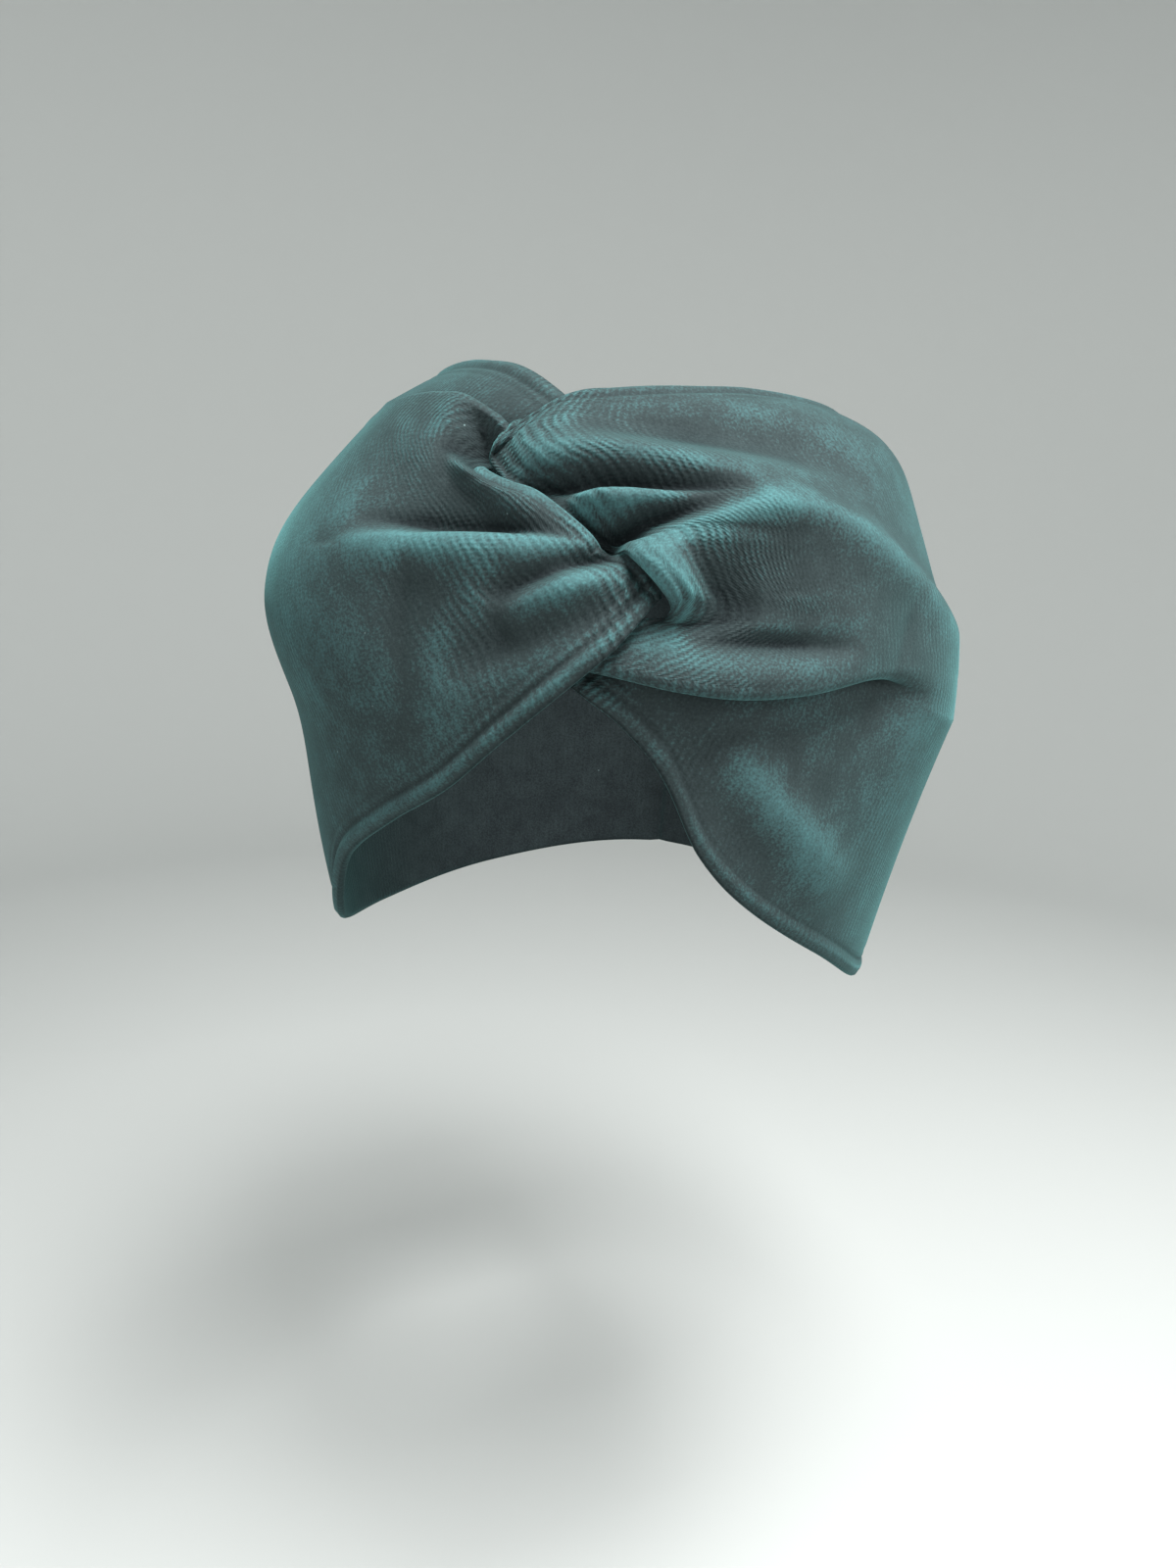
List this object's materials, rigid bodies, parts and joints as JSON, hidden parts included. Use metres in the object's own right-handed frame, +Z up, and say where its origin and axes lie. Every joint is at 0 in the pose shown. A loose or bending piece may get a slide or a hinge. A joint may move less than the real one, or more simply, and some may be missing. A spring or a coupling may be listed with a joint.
{
  "type": "turban headband",
  "caption": "Wide velour turban headband with an interlocked front twist, open at the crown, in the form it takes on a head.",
  "frame": {"origin": "middle of the head hollow at brow level, where the band sits on a head", "axes": "+Z up along the head, -Y out of the forehead through the twist, +X towards the wearer's left ear; the longest extent, front to back, is Y"},
  "size_m": [0.1915, 0.2035, 0.1681],
  "materials": {
    "velour": "deep teal knitted velour, short soft pile with a strong sheen at grazing angles, fine knit ribs across the band"
  },
  "bodies": {
    "root": {"wearer_right_panel": "velour", "wearer_left_panel": "velour"}
  },
  "joints": []
}
